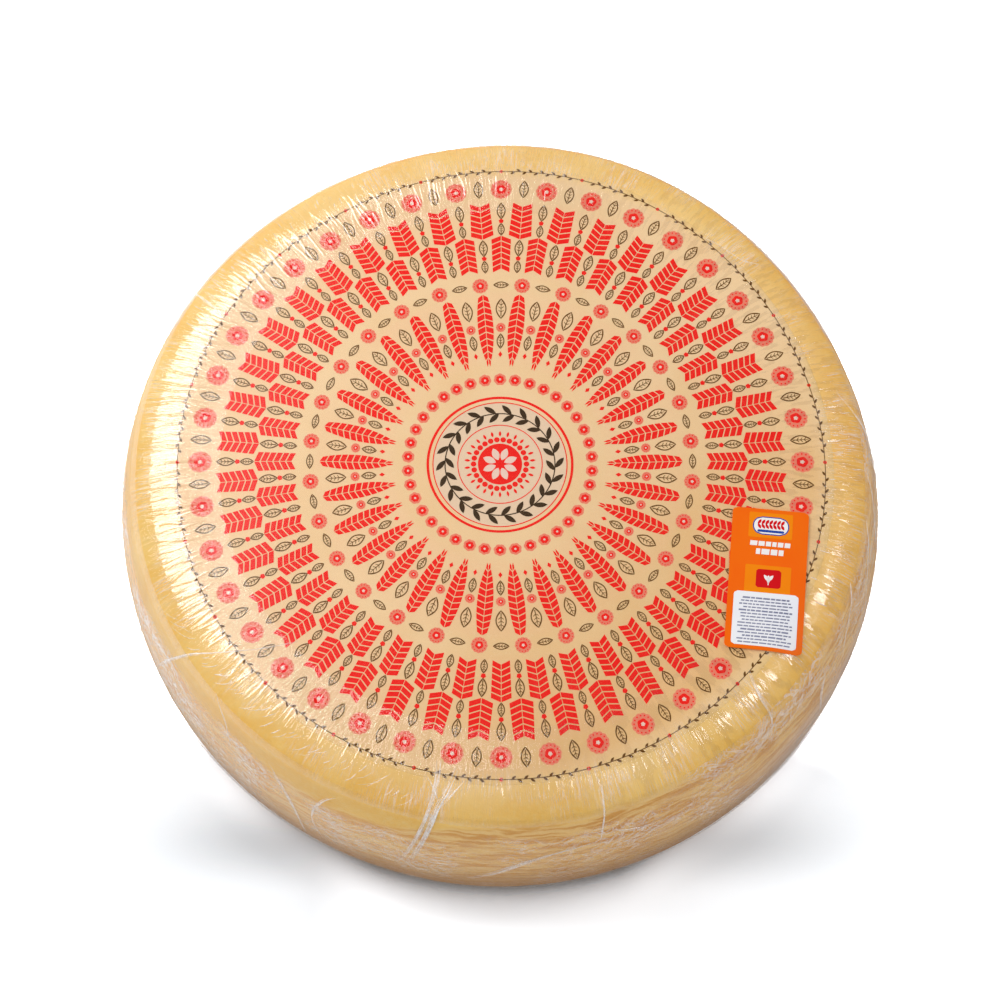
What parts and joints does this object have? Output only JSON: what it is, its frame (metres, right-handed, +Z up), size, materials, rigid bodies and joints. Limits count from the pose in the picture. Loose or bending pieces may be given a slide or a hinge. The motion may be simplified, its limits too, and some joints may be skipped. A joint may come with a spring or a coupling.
{
  "type": "whole emmental cheese wheel in clear film",
  "caption": "Whole round cheese wheel with a crowned face, rolled shoulder and bulging side, in clear film with a printed face sheet and a stuck-on card.",
  "frame": {"origin": "centre of the flat base, on the surface that the wheel lies on", "axes": "+Z up along the wheel's own axis; +X to the right and +Y away, seen from the front with the card at the lower right of the face"},
  "size_m": [0.7997, 0.7998, 0.2145],
  "materials": {
    "wrapped_rind": "golden rind with a faint mottle, seen through clear stretched film with fine creases",
    "printed_sheet": "thin cream sheet printed in red and dark olive, smooth under the film",
    "orange_card": "orange printed card, semi-gloss",
    "white_label": "white adhesive label with grey bars"
  },
  "bodies": {
    "root": {"cheese_wheel": "wrapped_rind", "top_sheet": "printed_sheet", "stuck_card": "orange_card", "info_label": "white_label"}
  },
  "joints": []
}
